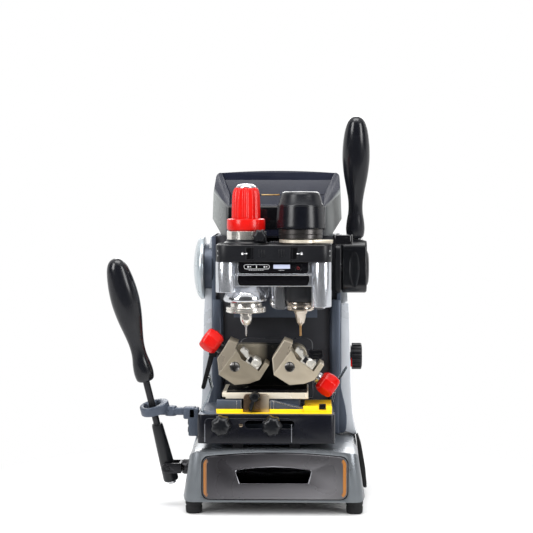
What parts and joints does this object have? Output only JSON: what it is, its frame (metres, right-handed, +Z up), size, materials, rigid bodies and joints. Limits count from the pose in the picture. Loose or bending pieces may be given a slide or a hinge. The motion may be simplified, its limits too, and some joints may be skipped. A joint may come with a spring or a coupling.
{
  "type": "key duplicating machine",
  "caption": "Bench key duplicating machine with a lever-fed head, a tracer and a cutter spindle, tilting key clamps on a joystick cross table, and a drawer base.",
  "frame": {"origin": "centre of the four bench bolts, on the bench plane under the rubber feet", "axes": "+X to the operator's right, +Y away from the operator, +Z up"},
  "size_m": [0.3053, 0.2545, 0.4629],
  "materials": {
    "silver_casting": "satin silver-grey paint over the casting",
    "slate_casting": "satin slate paint",
    "pearl_panel": "pearl grey, satin",
    "charcoal_plastic": "dark satin moulded plastic",
    "gloss_black": "gloss black",
    "rubber_black": "matte black rubber",
    "chrome_head": "polished",
    "steel": "ground steel",
    "nickel_satin": "satin nickel plate",
    "champagne_steel": "warm satin steel",
    "red_plastic": "bright red",
    "collet_brass": "bronzed steel",
    "gold_tool": "coated carbide",
    "black_oxide": "blackened steel",
    "silver_wheel": "satin silver",
    "clear_guard": "clear sheet",
    "pcb_green": "solder mask",
    "battery_wrap": "shrink wrap",
    "safety_yellow": "yellow film",
    "amber_lens": "amber",
    "display_window": "pale lit window",
    "white_mark": "printed mark"
  },
  "bodies": {
    "base": {"base_casting": "silver_casting", "base_plate": "black_oxide", "rubber_feet": "rubber_black", "column_casting": "slate_casting", "hood": "charcoal_plastic", "left_side_panel": "pearl_panel", "right_side_panel": "pearl_panel", "rear_cover": "charcoal_plastic", "dc_inlet": "gloss_black", "control_board": "pcb_green", "battery_pack": "battery_wrap", "guide_rails": "steel", "joystick_bracket": "steel", "lever_spring": "steel", "case_screws": "black_oxide"},
    "drawer": {"drawer_tray": "charcoal_plastic", "drawer_front": "charcoal_plastic"},
    "head": {"head_casting": "chrome_head", "head_band": "charcoal_plastic", "control_panel": "gloss_black", "head_plate": "slate_casting", "head_rack": "steel", "motor_housing": "gloss_black", "spindle_bearings": "steel", "tracer_barrel": "chrome_head"},
    "spindle": {"spindle_shaft": "steel", "collet_nut": "collet_brass", "cutter": "gold_tool"},
    "collet_lever": {"collet_lever": "steel"},
    "band_slider": {"band_slider": "charcoal_plastic"},
    "power_button": {"power_button": "red_plastic"},
    "tracer_knob": {"tracer_knob": "red_plastic"},
    "tracer": {"tracer_quill": "steel", "tracer_point": "steel"},
    "tracer_clamp": {"tracer_clamp_knob": "charcoal_plastic"},
    "lever": {"lever_shaft": "steel", "lever_hub": "charcoal_plastic", "lever_grip": "gloss_black"},
    "head_lock_wheel": {"head_lock_wheel": "silver_wheel"},
    "depth_knob": {"depth_knob": "charcoal_plastic"},
    "saddle": {"saddle": "black_oxide"},
    "table": {"table_frame": "slate_casting", "table_rods": "steel", "front_cover": "charcoal_plastic", "clamp_plate": "champagne_steel", "clamp_cradle": "gloss_black", "chip_guards": "clear_guard", "joystick_arm": "slate_casting"},
    "left_clamp": {"left_clamp": "nickel_satin"},
    "right_clamp": {"right_clamp": "nickel_satin"},
    "left_jaw": {"left_jaw": "nickel_satin"},
    "right_jaw": {"right_jaw": "nickel_satin"},
    "left_jaw_knob": {"left_jaw_knob": "red_plastic"},
    "right_jaw_knob": {"right_jaw_knob": "red_plastic"},
    "index_lever": {"index_lever": "rubber_black"},
    "tilt_lock_lever": {"tilt_lock_lever": "gloss_black"},
    "x_lock_knob": {"x_lock_knob": "gloss_black"},
    "table_lock_knob": {"table_lock_knob": "gloss_black"},
    "joystick_yoke": {"joystick_yoke": "steel"},
    "joystick": {"joystick_rod": "black_oxide"}
  },
  "joints": [
    {"name": "drawer_slide", "type": "slide", "parent": "base", "child": "drawer", "axis": [0, -1, 0], "range_m": [0, 0.11]},
    {"name": "head_slide", "type": "slide", "parent": "base", "child": "head", "axis": [0, 0, -1], "range_m": [0, 0.022], "stiffness_N_per_m": 600, "springref_m": -0.1},
    {"name": "lever_turn", "type": "hinge", "parent": "base", "child": "lever", "pos_m": [0.0965, 0.04, 0.278], "axis": [1, 0, 0], "range_deg": [0, 53]},
    {"name": "spindle_spin", "type": "hinge", "parent": "head", "child": "spindle", "pos_m": [0.03, -0.045, 0.25], "axis": [0, 0, 1], "continuous": true},
    {"name": "collet_lever_turn", "type": "hinge", "parent": "head", "child": "collet_lever", "pos_m": [0.03, -0.045, 0.3146], "axis": [0, 0, 1], "range_deg": [-25, 10]},
    {"name": "band_slider_slide", "type": "slide", "parent": "head", "child": "band_slider", "axis": [1, 0, 0], "range_m": [-0.006, 0.006]},
    {"name": "power_button_press", "type": "slide", "parent": "head", "child": "power_button", "axis": [0, 1, 0], "range_m": [0, 0.0005], "stiffness_N_per_m": 400},
    {"name": "tracer_knob_turn", "type": "hinge", "parent": "head", "child": "tracer_knob", "pos_m": [-0.0345, -0.045, 0.33], "axis": [0, 0, 1], "range_deg": [-722, 722]},
    {"name": "tracer_slide", "type": "slide", "parent": "head", "child": "tracer", "axis": [0, 0, 1], "range_m": [-0.003, 0.003]},
    {"name": "tracer_clamp_turn", "type": "hinge", "parent": "head", "child": "tracer_clamp", "pos_m": [-0.0175, -0.07, 0.3215], "axis": [0, -1, 0], "range_deg": [-90, 90]},
    {"name": "head_lock_turn", "type": "hinge", "parent": "base", "child": "head_lock_wheel", "pos_m": [-0.09, 0.04, 0.278], "axis": [-1, 0, 0], "range_deg": [-90, 90]},
    {"name": "depth_knob_turn", "type": "hinge", "parent": "base", "child": "depth_knob", "pos_m": [0.1, 0.045, 0.168], "axis": [1, 0, 0], "range_deg": [-180, 180]},
    {"name": "table_y", "type": "slide", "parent": "base", "child": "saddle", "axis": [0, 1, 0], "range_m": [-0.016, 0.016]},
    {"name": "table_x", "type": "slide", "parent": "saddle", "child": "table", "axis": [-1, 0, 0], "range_m": [-0.02, 0.02]},
    {"name": "left_tilt", "type": "hinge", "parent": "table", "child": "left_clamp", "pos_m": [-0.037, -0.05, 0.173], "axis": [0, 1, 0], "range_deg": [-45, 10]},
    {"name": "right_tilt", "type": "hinge", "parent": "table", "child": "right_clamp", "pos_m": [0.0275, -0.05, 0.173], "axis": [0, 1, 0], "range_deg": [-45, 10]},
    {"name": "left_jaw_turn", "type": "hinge", "parent": "left_clamp", "child": "left_jaw_knob", "pos_m": [-0.03872, -0.054, 0.17054], "axis": [0.8192, 0, -0.5736], "range_deg": [-902, 326]},
    {"name": "left_jaw_slide", "type": "slide", "parent": "left_clamp", "child": "left_jaw", "axis": [0.8192, 0, -0.5736], "range_m": [-0.005, 0.0018]},
    {"name": "right_jaw_turn", "type": "hinge", "parent": "right_clamp", "child": "right_jaw_knob", "pos_m": [0.02578, -0.054, 0.17054], "axis": [0.8192, 0, -0.5736], "range_deg": [-902, 326]},
    {"name": "right_jaw_slide", "type": "slide", "parent": "right_clamp", "child": "right_jaw", "axis": [0.8192, 0, -0.5736], "range_m": [-0.005, 0.0018]},
    {"name": "index_lever_turn", "type": "hinge", "parent": "table", "child": "index_lever", "pos_m": [-0.0755, -0.02, 0.18], "axis": [1, 0, 0], "range_deg": [-30, 25]},
    {"name": "tilt_lock_turn", "type": "hinge", "parent": "table", "child": "tilt_lock_lever", "pos_m": [-0.0225, -0.1, 0.1354], "axis": [0, 1, 0], "range_deg": [-60, 30]},
    {"name": "x_lock_turn", "type": "hinge", "parent": "saddle", "child": "x_lock_knob", "pos_m": [-0.002, -0.12, 0.1055], "axis": [0, -1, 0], "range_deg": [-90, 90]},
    {"name": "table_lock_turn", "type": "hinge", "parent": "table", "child": "table_lock_knob", "pos_m": [-0.0602, -0.12, 0.1055], "axis": [0, -1, 0], "range_deg": [-90, 90]},
    {"name": "yoke_turn", "type": "hinge", "parent": "base", "child": "joystick_yoke", "pos_m": [-0.1273, -0.0604, 0.047], "axis": [1, 0, 0], "range_deg": [-11.5, 11.5]},
    {"name": "stick_turn", "type": "hinge", "parent": "joystick_yoke", "child": "joystick", "pos_m": [-0.1273, -0.0604, 0.047], "axis": [0, 1, 0], "range_deg": [-14.5, 14.5]}
  ],
  "couplings": [
    {"joint": "lever_turn", "follows": "head_slide", "rad_per_m": 41.667},
    {"joint": "tracer_knob_turn", "follows": "tracer_slide", "rad_per_m": 4188.8},
    {"joint": "left_jaw_turn", "follows": "left_jaw_slide", "rad_per_m": 3141.6},
    {"joint": "right_jaw_turn", "follows": "right_jaw_slide", "rad_per_m": 3141.6},
    {"joint": "yoke_turn", "follows": "table_y", "rad_per_m": -12.2},
    {"joint": "stick_turn", "follows": "table_x", "rad_per_m": -12.3}
  ]
}
